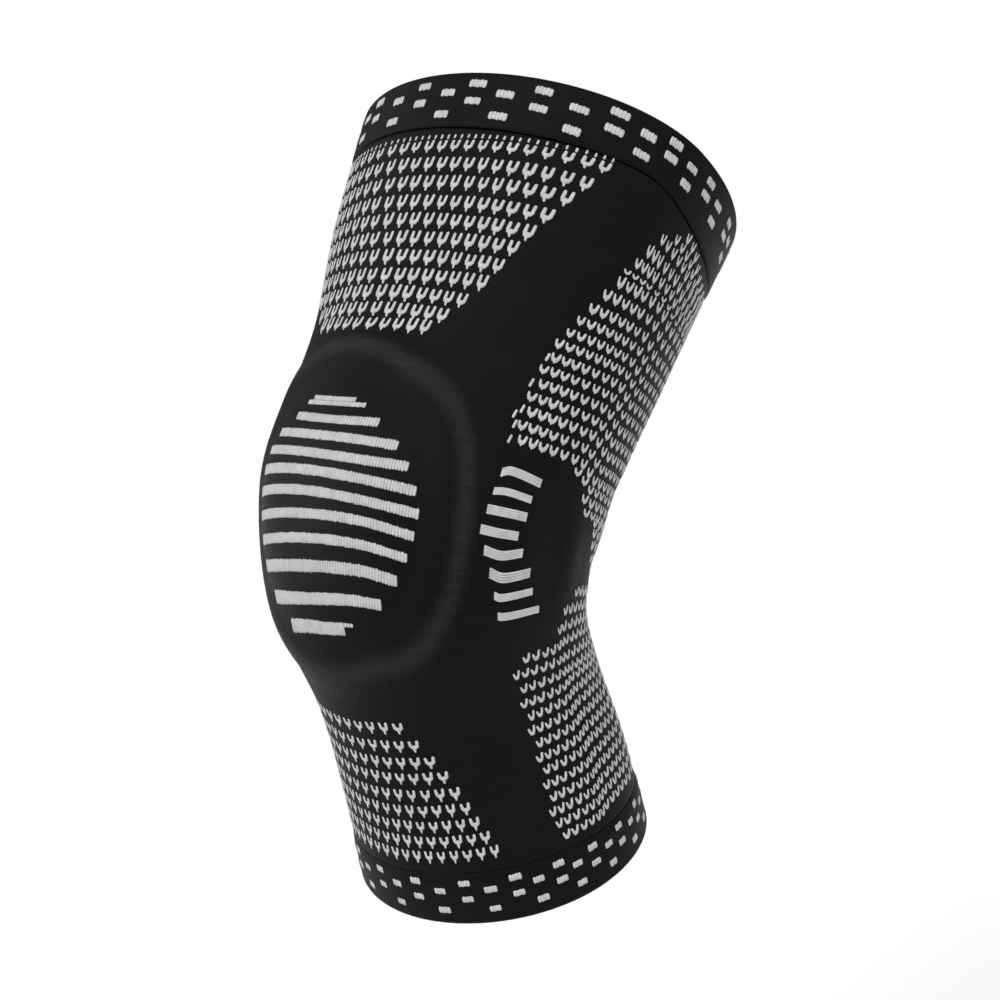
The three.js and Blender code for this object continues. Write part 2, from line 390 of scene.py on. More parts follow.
def map_range(tree, value, low, high, to_low, to_high):
    """A value mapped from one range to another, clamped."""
    node = tree.nodes.new("ShaderNodeMapRange")
    tree.links.new(value, node.inputs["Value"])
    for label, number in zip(("From Min", "From Max", "To Min", "To Max"), (low, high, to_low, to_high)):
        node.inputs[label].default_value = number
    return node.outputs["Result"]


def noise(tree, vector, scale, detail=2.0, roughness=0.5):
    """A noise texture's value."""
    node = tree.nodes.new("ShaderNodeTexNoise")
    tree.links.new(vector, node.inputs["Vector"])
    node.inputs["Scale"].default_value = scale
    node.inputs["Detail"].default_value = detail
    node.inputs["Roughness"].default_value = roughness
    return node.outputs["Fac"]


def stretched(tree, vector, scale):
    """A vector scaled along its own axes."""
    node = tree.nodes.new("ShaderNodeVectorMath")
    node.operation = "MULTIPLY"
    tree.links.new(vector, node.inputs[0])
    node.inputs[1].default_value = scale
    return node.outputs[0]


def knit_group():
    """Rows of knit stitches on a knit map in metres: their height, uneven rows and a soft mottle."""
    group, start, end = shader_group(
        "Knit stitches",
        [
            ("Knit map", "NodeSocketVector", None),
            ("Column pitch", "NodeSocketFloat", 0.0011),
            ("Row pitch", "NodeSocketFloat", 0.00075),
        ],
        [("Height", "NodeSocketFloat"), ("Rows", "NodeSocketFloat"), ("Mottle", "NodeSocketFloat")],
    )
    apart = group.nodes.new("ShaderNodeSeparateXYZ")
    group.links.new(start.outputs["Knit map"], apart.inputs[0])
    column = math_node(group, "DIVIDE", apart.outputs["X"], start.outputs["Column pitch"])
    row = math_node(group, "DIVIDE", apart.outputs["Y"], start.outputs["Row pitch"])
    wave = math_node(group, "SINE", math_node(group, "MULTIPLY", column, math.pi))
    across = math_node(group, "ABSOLUTE", wave)
    slant = math_node(group, "ADD", row, math_node(group, "MULTIPLY", across, 0.45))
    loop = math_node(group, "SINE", math_node(group, "MULTIPLY", slant, 2 * math.pi))
    height = math_node(group, "MULTIPLY", math_node(group, "POWER", across, 0.6),
                       map_range(group, loop, -1, 1, 0.45, 1))
    group.links.new(height, end.inputs["Height"])
    streaks = noise(group, stretched(group, start.outputs["Knit map"], STREAK_SCALE), 1, 2, 0.6)
    group.links.new(streaks, end.inputs["Rows"])
    group.links.new(noise(group, start.outputs["Knit map"], 60, 3, 0.55), end.inputs["Mottle"])
    return group


def yarn_group():
    """Twisted yarn in Object coordinates: the height of its fibres, and its shade."""
    group, start, end = shader_group(
        "Twisted yarn",
        [("Place", "NodeSocketVector", None), ("Fibre size", "NodeSocketFloat", 0.0006)],
        [("Height", "NodeSocketFloat"), ("Shade", "NodeSocketFloat")],
    )
    scaled = group.nodes.new("ShaderNodeVectorMath")
    scaled.operation = "DIVIDE"
    group.links.new(start.outputs["Place"], scaled.inputs[0])
    size = group.nodes.new("ShaderNodeCombineXYZ")
    for k in range(3):
        group.links.new(start.outputs["Fibre size"], size.inputs[k])
    group.links.new(size.outputs[0], scaled.inputs[1])
    fibres = noise(group, stretched(group, scaled.outputs[0], (1, 1, 0.5)), 1.2, 3, 0.6)
    group.links.new(fibres, end.inputs["Height"])
    shade = noise(group, scaled.outputs[0], 0.22, 2, 0.5)
    group.links.new(shade, end.inputs["Shade"])
    return group


def material_tree(name):
    """A new material with its Principled shader."""
    material = bpy.data.materials.new(name)
    material.use_nodes = True
    return material, material.node_tree, material.node_tree.nodes["Principled BSDF"]


def place_group(tree, group, **values):
    """A node group placed in a material with its own values."""
    node = tree.nodes.new("ShaderNodeGroup")
    node.node_tree = group
    for label, value in values.items():
        node.inputs[label.replace("_", " ")].default_value = value
    return node


def shaded(tree, factor, low, high):
    """A colour between two, by a factor."""
    node = tree.nodes.new("ShaderNodeMix")
    node.data_type = "RGBA"
    tree.links.new(factor, node.inputs["Factor"])
    node.inputs["A"].default_value = (*low, 1)
    node.inputs["B"].default_value = (*high, 1)
    return node.outputs["Result"]


def bumped(tree, shader, height, distance, strength):
    """A bump that feeds the shader's normal."""
    node = tree.nodes.new("ShaderNodeBump")
    node.inputs["Distance"].default_value = distance
    node.inputs["Strength"].default_value = strength
    tree.links.new(height, node.inputs["Height"])
    tree.links.new(node.outputs["Normal"], shader.inputs["Normal"])


def knit_material(name, colour, group, column_pitch, row_pitch, depth):
    """Fine black knit: rows of stitches in the knit map, faint streaks along the rows, painted shade in the
    stitches' grooves, a soft sheen, and a painted highlight over the ring's crest and the kneecap."""
    material, tree, shader = material_tree(name)
    knit_map = tree.nodes.new("ShaderNodeUVMap")
    knit_map.uv_map = "knit"
    knit = place_group(tree, group, Column_pitch=column_pitch, Row_pitch=row_pitch)
    tree.links.new(knit_map.outputs["UV"], knit.inputs["Knit map"])
    tone = math_node(tree, "ADD", math_node(tree, "MULTIPLY", knit.outputs["Rows"], STREAK_SHARE),
                     math_node(tree, "MULTIPLY", knit.outputs["Mottle"], MOTTLE_SHARE))
    # The tone falls where the stitch height is low, so the knit is darker in the grooves between stitches:
    # painted shade
    tone = math_node(tree, "MULTIPLY", map_range(tree, tone, 0.3, 0.7, 0, 1),
                     map_range(tree, knit.outputs["Height"], 0, 1, 0.45, 1))
    # The knit's plain colour, and its colour under the painted highlight
    plain_colour, highlit_colour = [shaded(tree, tone, [dark * c for c in colour], [light * c for c in colour])
                   for dark, light in (PLAIN_SHADES, HIGHLIGHT_SHADES)]
    # The painted highlight's strength, read from the points, mixes the two colours
    taut = tree.nodes.new("ShaderNodeAttribute")
    taut.attribute_name = "taut"
    highlight_mix = tree.nodes.new("ShaderNodeMix")
    highlight_mix.data_type = "RGBA"
    tree.links.new(taut.outputs["Fac"], highlight_mix.inputs["Factor"])
    tree.links.new(plain_colour, highlight_mix.inputs["A"])
    tree.links.new(highlit_colour, highlight_mix.inputs["B"])
    tree.links.new(highlight_mix.outputs["Result"], shader.inputs["Base Color"])
    rough = map_range(tree, knit.outputs["Height"], 0, 1, 0.65, 0.45)
    tree.links.new(rough, shader.inputs["Roughness"])
    shader.inputs["Specular IOR Level"].default_value = KNIT_REFLECTION
    shader.inputs["Sheen Weight"].default_value = KNIT_SHEEN
    shader.inputs["Sheen Roughness"].default_value = KNIT_SHEEN_ROUGHNESS
    bumped(tree, shader, knit.outputs["Height"], depth, KNIT_BUMP)
    return material


def grained_material(name, colour, group, size, darkest, roughness, reflection, depth, strength):
    """A matt finish with a fine grain and a slightly uneven shade, for the yarn and for the silicone."""
    material, tree, shader = material_tree(name)
    place = tree.nodes.new("ShaderNodeTexCoord")
    grain = place_group(tree, group, Fibre_size=size)
    tree.links.new(place.outputs["Object"], grain.inputs["Place"])
    tone = map_range(tree, grain.outputs["Shade"], 0.3, 0.7, 0, 1)
    tree.links.new(shaded(tree, tone, [darkest * c for c in colour], colour), shader.inputs["Base Color"])
    rough = map_range(tree, grain.outputs["Height"], 0.2, 0.8, *roughness)
    tree.links.new(rough, shader.inputs["Roughness"])
    shader.inputs["Specular IOR Level"].default_value = reflection
    bumped(tree, shader, grain.outputs["Height"], depth, strength)
    return material


# Geometry nodes


def node_of(tree, kind, **settings):
    """A new node with its settings."""
    node = tree.nodes.new(kind)
    for name, value in settings.items():
        setattr(node, name, value)
    return node


def attribute(tree, name, kind):
    """A named attribute of the points."""
    node = node_of(tree, "GeometryNodeInputNamedAttribute", data_type=kind)
    node.inputs["Name"].default_value = name
    return node.outputs["Attribute"]


def stitch_tree(name):
    """A tree that sets one stitch figure on each point of a mesh, facing out and up its column."""
    tree = bpy.data.node_groups.new(name, "GeometryNodeTree")
    socket(tree, "Places", "NodeSocketGeometry")
    socket(tree, "Figure", "NodeSocketObject")
    socket(tree, "Size", "NodeSocketFloat", 1.0)
    socket(tree, "Unevenness", "NodeSocketFloat", 0.05)
    socket(tree, "Seed", "NodeSocketInt", 7)
    socket(tree, "Finish", "NodeSocketMaterial")
    socket(tree, "Stitches", "NodeSocketGeometry", output=True)
    start, end = tree.nodes.new("NodeGroupInput"), tree.nodes.new("NodeGroupOutput")
    link = tree.links.new

    outwards = node_of(tree, "FunctionNodeAlignRotationToVector", axis="Z", pivot_axis="AUTO")
    link(attribute(tree, "facing", "FLOAT_VECTOR"), outwards.inputs["Vector"])
    upwards = node_of(tree, "FunctionNodeAlignRotationToVector", axis="Y", pivot_axis="Z")
    link(outwards.outputs["Rotation"], upwards.inputs["Rotation"])
    link(attribute(tree, "column", "FLOAT_VECTOR"), upwards.inputs["Vector"])

    uneven = node_of(tree, "FunctionNodeRandomValue", data_type="FLOAT_VECTOR")
    lower = node_of(tree, "ShaderNodeMath", operation="SUBTRACT")
    lower.inputs[0].default_value = 1
    upper = node_of(tree, "ShaderNodeMath", operation="ADD")
    upper.inputs[0].default_value = 1
    for side, limit in ((lower, "Min"), (upper, "Max")):
        link(start.outputs["Unevenness"], side.inputs[1])
        link(side.outputs[0], uneven.inputs[limit])
    link(start.outputs["Seed"], uneven.inputs["Seed"])
    stretch = node_of(tree, "ShaderNodeVectorMath", operation="MULTIPLY")
    link(attribute(tree, "stretch", "FLOAT_VECTOR"), stretch.inputs[0])
    link(uneven.outputs["Value"], stretch.inputs[1])
    grow = node_of(tree, "ShaderNodeVectorMath", operation="SCALE")
    link(stretch.outputs[0], grow.inputs[0])
    link(start.outputs["Size"], grow.inputs["Scale"])

    figure = node_of(tree, "GeometryNodeObjectInfo", transform_space="ORIGINAL")
    link(start.outputs["Figure"], figure.inputs["Object"])
    put = tree.nodes.new("GeometryNodeInstanceOnPoints")
    link(start.outputs["Places"], put.inputs["Points"])
    link(figure.outputs["Geometry"], put.inputs["Instance"])
    link(upwards.outputs["Rotation"], put.inputs["Rotation"])
    link(grow.outputs[0], put.inputs["Scale"])
    real = tree.nodes.new("GeometryNodeRealizeInstances")
    link(put.outputs["Instances"], real.inputs["Geometry"])
    finish = tree.nodes.new("GeometryNodeSetMaterial")
    link(real.outputs["Geometry"], finish.inputs["Geometry"])
    link(start.outputs["Finish"], finish.inputs["Material"])
    link(finish.outputs["Geometry"], end.inputs["Stitches"])
    return tree


def strand_tree(name):
    """A tree that lays round yarn along each line of a mesh."""
    tree = bpy.data.node_groups.new(name, "GeometryNodeTree")
    socket(tree, "Lines", "NodeSocketGeometry")
    socket(tree, "Yarn radius", "NodeSocketFloat", 0.0005)
    socket(tree, "Sides", "NodeSocketInt", 6)
    socket(tree, "Finish", "NodeSocketMaterial")
    socket(tree, "Yarn", "NodeSocketGeometry", output=True)
    start, end = tree.nodes.new("NodeGroupInput"), tree.nodes.new("NodeGroupOutput")
    link = tree.links.new
    line = tree.nodes.new("GeometryNodeMeshToCurve")
    link(start.outputs["Lines"], line.inputs["Mesh"])
    ring = tree.nodes.new("GeometryNodeCurvePrimitiveCircle")
    link(start.outputs["Sides"], ring.inputs["Resolution"])
    link(start.outputs["Yarn radius"], ring.inputs["Radius"])
    yarn = tree.nodes.new("GeometryNodeCurveToMesh")
    yarn.inputs["Fill Caps"].default_value = True
    link(line.outputs["Curve"], yarn.inputs["Curve"])
    link(ring.outputs["Curve"], yarn.inputs["Profile Curve"])
    finish = tree.nodes.new("GeometryNodeSetMaterial")
    link(yarn.outputs["Mesh"], finish.inputs["Geometry"])
    link(start.outputs["Finish"], finish.inputs["Material"])
    link(finish.outputs["Geometry"], end.inputs["Yarn"])
    return tree


def grown(piece, tree, **values):
    """Puts a node tree with its named inputs on a piece, and gives the result as a plain mesh piece."""
    modifier = piece.modifiers.new(tree.name, "NODES")
    modifier.node_group = tree
    names = {item.name: item.identifier for item in tree.interface.items_tree if item.in_out == "INPUT"}
    for label, value in values.items():
        modifier[names[label.replace("_", " ")]] = value
    evaluated = piece.evaluated_get(bpy.context.evaluated_depsgraph_get())
    mesh = bpy.data.meshes.new_from_object(evaluated)
    piece.modifiers.clear()
    old, piece.data = piece.data, mesh
    bpy.data.meshes.remove(old)
    if not len(mesh.polygons):
        raise RuntimeError(f"{piece.name} came out empty")
    mesh.name = piece.name
    mesh.polygons.foreach_set("use_smooth", [True] * len(mesh.polygons))
    for layer in [a.name for a in mesh.attributes if a.name in ("facing", "column", "stretch")]:
        mesh.attributes.remove(mesh.attributes[layer])
    return piece


def places(name, rows, depth=0.0):
    """Points on the cloth, or a depth under it, for a stitch tree. A row is (along, turn, width, height),
    the last two as shares of the figure's own."""
    rows = np.array(rows, float)
    along, turn = rows[:, 0], rows[:, 1]
    points = knit_point(along, turn, depth)
    out, column = knit_axes(along, turn)
    mesh = bpy.data.meshes.new(name)
    mesh.from_pydata([tuple(p) for p in points], [], [])
    stretch = np.stack([rows[:, 2], rows[:, 3], np.ones(len(rows))], -1)
    for label, values in (("facing", out), ("column", column), ("stretch", stretch)):
        layer = mesh.attributes.new(label, "FLOAT_VECTOR", "POINT")
        layer.data.foreach_set("vector", values.reshape(-1))
    piece = bpy.data.objects.new(name, mesh)
    bpy.context.scene.collection.objects.link(piece)
    return piece


# A lobe's tips: their reach past its ends, as a share of the half width there, and their own shares of
# its half width and height
TIP_REACH, TIP_WIDTH, TIP_HEIGHT = 0.72, 0.5, 0.55

# Sides of a lobe, and how far its corners stand out so that it is as wide as given
LOBE_SIDES, CORNER_REACH = 5, 1.05


def stitch_figure(name, lobes, lift, bed):
    """A figure of rounded lobes, each from one place to another with its two half widths, in
    millimetres: x along the row and y up the column. It rises by lift over the cloth and is bedded in it."""
    vertices, faces = [], []
    sides = LOBE_SIDES
    for x0, y0, w0, x1, y1, w1 in lobes:
        start, end = np.array([x0, y0]), np.array([x1, y1])
        way = end - start
        length = max(float(np.hypot(*way)), 1e-6)
        way /= length
        aside = np.array([way[1], -way[0]])
        first = len(vertices)
        spans = [
            (-TIP_REACH * w0, TIP_WIDTH * w0, TIP_HEIGHT),
            (0.0, w0, 1.0),
            (length, w1, 1.0),
            (length + TIP_REACH * w1, TIP_WIDTH * w1, TIP_HEIGHT),
        ]
        for reach, width, high in spans:
            middle = start + way * reach
            for k in range(sides):
                angle = math.pi / 2 + 2 * math.pi * k / sides
                out = middle + aside * (width * math.cos(angle) * CORNER_REACH)
                z = lift * high * math.sin(angle) if math.sin(angle) > 0 else bed * math.sin(angle)
                vertices.append((out[0] * MM, out[1] * MM, z * MM))
        for ring in range(3):
            for k in range(sides):
                a, b = first + ring * sides + k, first + ring * sides + (k + 1) % sides
                faces.append((a, b, b + sides, a + sides))
        faces.append(tuple(first + k for k in reversed(range(sides))))
        faces.append(tuple(first + 3 * sides + k for k in range(sides)))
    figure = new_piece(name, vertices, faces)
    figure.hide_render = True
    return figure


def dressed(piece, slot, *nodes):
    """Hides the nodes that the piece stands for and sets it on the root body; the slot is not used."""
    if nodes:
        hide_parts(*nodes)
    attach(piece, "root")
    return piece


# The yarn figures. Their tables give the side towards +X. The other side repeats it past the line of
# symmetry.

# Columns of ticks on the thigh's front, as turns in the row nearest the seam
THIGH_TICK_COLUMNS = (-0.049, -0.0325, -0.0175, -0.004, 0.0095, 0.022, 0.034, 0.046,
                      0.058, 0.07, 0.0825, 0.0965, 0.1115, 0.128, 0.1445, 0.16)

# Rows of ticks on the thigh's front: along in the middle and at the end, and the row's own shift
THIGH_TICK_ROWS = [
    (124.0, 126.8, 0), (117.7, 119.3, 0), (111.1, 112.7, 0), (104.3, 105.4, 0),
    (98.0, 98.5, 0), (91.5, 92.3, 0), (85.1, 85.5, 0), (78.4, 79.0, -0.002),
    (72.3, 72.0, -0.007), (66.3, 65.8, -0.012), (60.6, 60.9, -0.016),
]

# Rows of ticks on the calf's front: along in the middle and at the end, turn of the end, pitch
CALF_TICK_ROWS = [
    (-64.6, -63.9, 0.056, 0.0172), (-71.4, -70.7, 0.067, 0.017), (-78.0, -77.3, 0.079, 0.0168),
    (-84.4, -83.6, 0.088, 0.0166), (-91.4, -90.6, 0.095, 0.0163), (-98.0, -97.1, 0.101, 0.0156),
    (-104.5, -103.5, 0.106, 0.015), (-110.8, -109.6, 0.1125, 0.0147), (-117.0, -115.6, 0.118, 0.0144),
]

# Rows of loops at the rear of the thigh: along and turn of the first, pitch in turns, height
THIGH_LOOP_ROWS = [
    (126.5, 0.2720, 0.0098, 1.1), (120.8, 0.2600, 0.0094, 1.1), (115.2, 0.2445, 0.0090, 1.15),
    (107.3, 0.2335, 0.0088, 1.3), (100.8, 0.2255, 0.0091, 1.1), (96.3, 0.2170, 0.0110, 0.5),
    (91.6, 0.2145, 0.0112, 1.15), (85.7, 0.2050, 0.0116, 1.05), (79.6, 0.1965, 0.0117, 1),
    (74.4, 0.1885, 0.0112, 0.9), (69.3, 0.1830, 0.0114, 0.9), (64.5, 0.1765, 0.0109, 0.9),
    (59.3, 0.1785, 0.0119, 0.95), (54.3, 0.1720, 0.0120, 0.9), (48.9, 0.1770, 0.0120, 1),
    (43.5, 0.1712, 0.0121, 0.95), (38.1, 0.1767, 0.0118, 1), (32.7, 0.1725, 0.0117, 0.9),
    (27.5, 0.1770, 0.0119, 1), (23.0, 0.2440, 0.0130, 0.8), (18.4, 0.2650, 0.0140, 0.9),
    (14.5, 0.2740, 0.0145, 0.8), (12.8, 0.3000, 0.0140, 0.9), (9.2, 0.3060, 0.0140, 0.9),
    (4.6, 0.3120, 0.0140, 0.9), (-0.8, 0.3240, 0.0140, 0.9), (-6.6, 0.3400, 0.0140, 0.9),
]

# Loops cut short by the edge of their panel: along and turn
EDGE_LOOPS = [(59.0, 0.1715), (48.6, 0.1665), (38.6, 0.1677), (36.2, 0.1628), (32.7, 0.166), (27.0, 0.1662)]

# Rows of loops at the rear of the calf: along, and the first column of the row
CALF_LOOP_ROWS = [
    (-24.2, 8.4), (-31.3, 7.3), (-37.9, 5.4), (-44.1, 1), (-49.8, 0), (-55.8, 0), (-61.8, 0), (-67.4, 0),
    (-73.1, 0), (-78.8, 0), (-84.5, 0), (-89.9, 0), (-95.7, 0), (-101.3, 0), (-106.9, 0), (-112.2, 0),
    (-117.6, 1),
]

# Turns of the columns of loops at the rear of the calf, in every other row
CALF_LOOP_COLUMNS = (
    (0.194, 0.2045, 0.2155, 0.228, 0.2395, 0.25, 0.258, 0.2665, 0.279, 0.2915, 0.304,
     0.318, 0.334, 0.352, 0.37, 0.388, 0.406, 0.424, 0.442, 0.46, 0.478, 0.496),
    (0.1985, 0.209, 0.221, 0.2335, 0.2445, 0.2545, 0.2615, 0.269, 0.28, 0.2915, 0.3045,
     0.318, 0.335, 0.353, 0.371, 0.389, 0.407, 0.425, 0.443, 0.461, 0.479, 0.497),
)

# How the rows of loops run, with lengths in mm and widths in turns. On the thigh they drop where the
# cloth bends round the side, at a turn that moves with the height, and fall a little before it.
LOOP_PITCH = 0.0115
THIGH_BEND_TURN, THIGH_BEND_LEAN, THIGH_BEND_FROM = 0.256, 0.00042, 27
THIGH_BEND_DROP, THIGH_EDGE_FALL, THIGH_EDGE_END = 4.3, 13, 0.27
THIGH_BEND_SPAN = (-0.014, 0.02)
THIGH_EDGE_SHIFT, THIGH_SHIFTED_ROWS, THIGH_SHIFTED_LOOPS = -0.0035, (25, 62), (3, 3.5)
CALF_BEND_RISE, CALF_REAR_DROP = 2.4, 1.6
CALF_BEND_TURNS, CALF_DROP_TURNS = (0.244, 0.268), (0.3, 0.335)
CALF_LEAN, CALF_LEAN_BELOW = 0.0002, -80
FLAT_ROWS_AT, FLAT_ROWS_REACH, FLATNESS = -53, 9, 0.8
REAR_WIDENING, WIDENING_FROM, ROWS_END = 1.35, 0.28, 0.52

# Stripes over the kneecap: (along, turn) at four places from end to end, then the thickness at each end
KNEE_STRIPES = [
    ((31.0, -0.028), (30.8, -0.01), (30.7, 0.004), (30.9, 0.022), 1.7, 1.7),
    ((29.3, -0.035), (28.9, -0.01), (28.9, 0.01), (29.2, 0.034), 1.6, 1.6),
    ((23.6, -0.046), (22.6, -0.012), (22.4, 0.014), (23.2, 0.053), 2.9, 3.0),
    ((17.0, -0.071), (15.7, -0.01), (15.5, 0.04), (15.5, 0.077), 3.0, 3.2),
    ((10.3, -0.086), (8.9, -0.006), (8.5, 0.051), (8.9, 0.091), 3.0, 3.1),
    ((3.6, -0.095), (3.3, -0.001), (2.7, 0.055), (2.0, 0.102), 3.3, 3.2),
    ((-2.7, -0.1), (-2.2, 0.002), (-2.8, 0.058), (-3.8, 0.107), 3.2, 3.1),
    ((-8.8, -0.1), (-7.4, 0.004), (-7.5, 0.06), (-9.1, 0.105), 3.3, 3.1),
    ((-14.4, -0.096), (-12.5, 0.005), (-12.5, 0.06), (-14.1, 0.1), 3.4, 3.0),
    ((-20.2, -0.088), (-18.2, 0.003), (-17.9, 0.06), (-19.3, 0.091), 4.1, 3.8),
    ((-26.9, -0.069), (-25.2, -0.001), (-24.4, 0.047), (-24.9, 0.075), 4.7, 3.5),
    ((-33.1, -0.04), (-32.1, -0.01), (-31.9, 0.01), (-31.5, 0.034), 5.0, 4.2),
    ((-30.4, 0.034), (-30.4, 0.037), (-30.4, 0.04), (-30.4, 0.044), 1.3, 1.3),
]

# Dashes at the side of the knee: (along, turn) at the front end, the bend and the rear end, thickness
SIDE_DASHES = [
    ((14.5, 0.1688), (16.0, 0.1785), (14.7, 0.2076), 3.4),
    ((7.6, 0.1667), (8.5, 0.1792), (8.2, 0.2028), 2.8),
    ((1.6, 0.1646), (1.9, 0.1826), (2.2, 0.2021), 3.2),
    ((-4.4, 0.1618), (-4.5, 0.1792), (-4.2, 0.1972), 3.0),
    ((-9.7, 0.1674), (-10.5, 0.184), (-8.8, 0.2042), 3.0),
    ((-15.4, 0.1743), (-16.5, 0.1889), (-14.4, 0.2153), 3.2),
    ((-21.5, 0.1799), (-22.1, 0.1889), (-20.2, 0.2201), 2.6),
    ((-27.5, 0.1833), (-27.7, 0.1931), (-26.2, 0.2285), 2.7),
]

# Columns of blocks round the cuffs, as turns; the rest are spread evenly over the remaining way round
THIGH_BLOCKS = {
    "upper": (-0.0765, -0.0145, 0.037, 0.092, 0.156, 0.2146, 0.269, 0.319),
    "lower": (-0.0435, 0.012, 0.0625, 0.1232, 0.186, 0.2425, 0.289, 0.337),
    "more": 10,
    "levels": (146.0, 142.9, 139.9, 135.2),
    "up": 0.98,
}
CALF_BLOCKS = {
    "upper": (-0.031, 0.0217, 0.0778, 0.1315, 0.179, 0.2229, 0.2675, 0.3139),
    "lower": (-0.0055, 0.0493, 0.1038, 0.1545, 0.2, 0.2458, 0.2925, 0.335),
    "more": 11,
    "levels": (-126.4, -129.6, -132.9, -137.5),
    "up": 0.92,
}

# The turn from which the loops' columns are spread towards the middle of the rear
REAR_START = 0.33

# Ticks: the pitch in turns at which they have their own width, on the thigh also that of the columns past
# the line of symmetry, and the height of the thigh's first row as a share of the others'
THIGH_TICK_PITCH, THIGH_FAR_PITCH, CALF_TICK_PITCH = 0.0122, 0.0145, 0.0155
FIRST_ROW_HEIGHT = 0.78

# Least and greatest width of the thigh's ticks as a share of their own, the turn from which their rows
# rise towards the end, and the narrowest gap, in pitches, that a row still closes on the far side
TICK_WIDTHS, TICKS_RISE_FROM, NARROWEST_GAP = (0.95, 1.2), 0.02, 0.4

# Dots above the thigh's first row: their rise over it, places as shares of the pitch, width and height
DOT_RISE, DOT_PLACES, DOT_SIZE = 3.3, (-0.22, 0.28), (1.25, 1.2)

# Ribs of the knee's stripes: pitch in mm, and the thickness of a stripe of ribs at their own height
RIB_PITCH, RIB_HEIGHT = 1.1, 2.65

# Lobes of the figures, in mm: x, y and half width at each end
TICK = [(-1.1, 2.4, 0.55, -1.35, -0.4, 0.66), (1.45, 2.75, 0.55, 1.0, -0.3, 0.66),
        (-1.05, -0.85, 0.98, 0.5, -0.75, 0.9), (-0.45, -1.4, 0.62, -0.3, -2.8, 0.36)]
TURNED_TICK = [(-1.25, 2.6, 0.52, -1.0, 0.5, 0.62), (1.4, 2.65, 0.54, 1.05, 0.4, 0.62),
               (-0.65, 0.2, 0.82, 0.65, 0.2, 0.8), (-0.1, -0.4, 0.6, -0.15, -1.9, 0.34)]
LOOP = [(-1.2, 1.7, 0.44, -0.8, 0.15, 0.58), (1.4, 2.1, 0.52, 0.85, 0.1, 0.62),
        (-0.45, -0.35, 0.84, 0.45, -0.4, 0.84)]
TAILED_LOOP = [(-1.25, 1.7, 0.42, -1.0, 0.1, 0.58), (1.5, 2.15, 0.52, 0.95, 0.0, 0.64),
               (-0.6, -0.35, 0.86, 0.6, -0.4, 0.86), (0.1, -0.9, 0.5, 0.15, -1.5, 0.3)]
SLANT = [(0.15, 1.5, 0.5, -0.25, -1.0, 0.54)]
RIB = [(0, -1.1, 0.6, 0, 1.1, 0.6)]
DOT = [(0.0, -0.45, 0.36, 0.1, 0.45, 0.34)]
THIGH_BLOCK = [(x, y - 0.88, 0.94, x, y + 0.88, 0.94)
               for x, y in ((-2.8, 0), (-1.4, 0.14), (0, -0.06), (1.4, 0.1), (2.8, -0.1))]
CALF_BLOCK = [(x, y - 0.84, 0.76, x, y + 0.84, 0.76)
              for x, y in ((-1.7, 0.05), (-0.57, -0.08), (0.57, 0.06), (1.7, -0.05))]

# Width of the cuffs' blocks as a share of their own: at the front, between two turns, and elsewhere
BLOCK_FRONT, BLOCK_FRONT_WIDTH, BLOCK_WIDTH = (0.03, 0.2), 0.95, 0.87

# How far the thigh cuff's rows of blocks draw together at the side, and between which turns
BLOCK_CROWDING, CROWDING_TURNS = 0.46, (0.15, 0.31)

# Strands of yarn to a side dash, points along each and how deep it lies, in mm
DASH_STRANDS, DASH_POINTS, DASH_DEPTH = 4, 13, 0.15

# The cuffs: faces round the rim, then in mm the height of a face of the inner side, the slope where the
# lap starts, and the way from the round of the edge to the first even row
RIM_STEPS, CUFF_INNER_STEP, LAP_SLOPE, EVEN_AFTER = 12, 3, 0.3, 0.5

# The ring's faces along it and on each of its two sides, how far its round sides would reach, as a share
# of half its band, and the small angle that gives its course
RING_STEPS, RING_LANES, RING_ROUND, RING_NUDGE = 160, 14, 1.4, 0.01

# Round of the body's edge at the thigh seam, in mm: distance from its end and depth
BODY_EDGE = [(0.5, 0.06), (0.15, 0.25)]
BODY_EDGE_START = 1.4

# Round of the cuffs' edges at their seams, in mm: reach from the seam and depth under the cloth's face
THIGH_SEAM_EDGE = [(0, 0.05), (0.3, -0.14), (0.8, -0.34), (1.4, -0.46)]
CALF_SEAM_EDGE = [(0, 0.02), (0.8, -0.06), (2.0, -0.25), (3.2, -0.43)]

FLOOR_CORNERS = [(-1, -1), (1, -1), (1, 1), (-1, 1)]

# Soft lights: name, azimuth from the front and elevation it comes from, spread, all in degrees, strength
SOFT_LIGHTS = [
    ("knee_light", -5, 30, 30, 1.85),
    ("side_light", -70, 20, 40, 0.7),
    ("fill_light", 75, 45, 90, 1.85),
    ("top_light", 0, 85, 60, 0.3),
]


def whole_row(turns, centre, pitch):
    """A row of turns, carried on over the line of symmetry as far as it goes on this side."""
    more = np.arange(turns[0] - pitch, 2 * centre - turns[-1] - NARROWEST_GAP * pitch, -pitch)
    return np.concatenate([more[::-1], turns])


def thigh_ticks():
    """Places of the ticks on the thigh's front, and of the dots above the first row."""
    ticks, dots = [], []
    columns = np.array(THIGH_TICK_COLUMNS)
    for row, (middle, end, shift) in enumerate(THIGH_TICK_ROWS):
        turns = columns[: len(columns) - row] - THIGH_TICK_LEAN * (THIGH_TICK_ROWS[0][0] - middle) + shift
        last, centre = turns[-1], float(centre_turn(middle))
        turns = whole_row(turns, centre, THIGH_FAR_PITCH)
        for turn, pitch in zip(turns, np.gradient(turns)):
            side = max(turn, 2 * centre - turn)
            along = float(np.interp(side, [TICKS_RISE_FROM, last], [middle, end]))
            across = float(np.clip(pitch / THIGH_TICK_PITCH, *TICK_WIDTHS))
            ticks.append((along, turn, across, FIRST_ROW_HEIGHT if row == 0 else 1))
            if row == 0:
                dots += [(along + DOT_RISE, turn + place * pitch, *DOT_SIZE) for place in DOT_PLACES]
    return ticks, dots


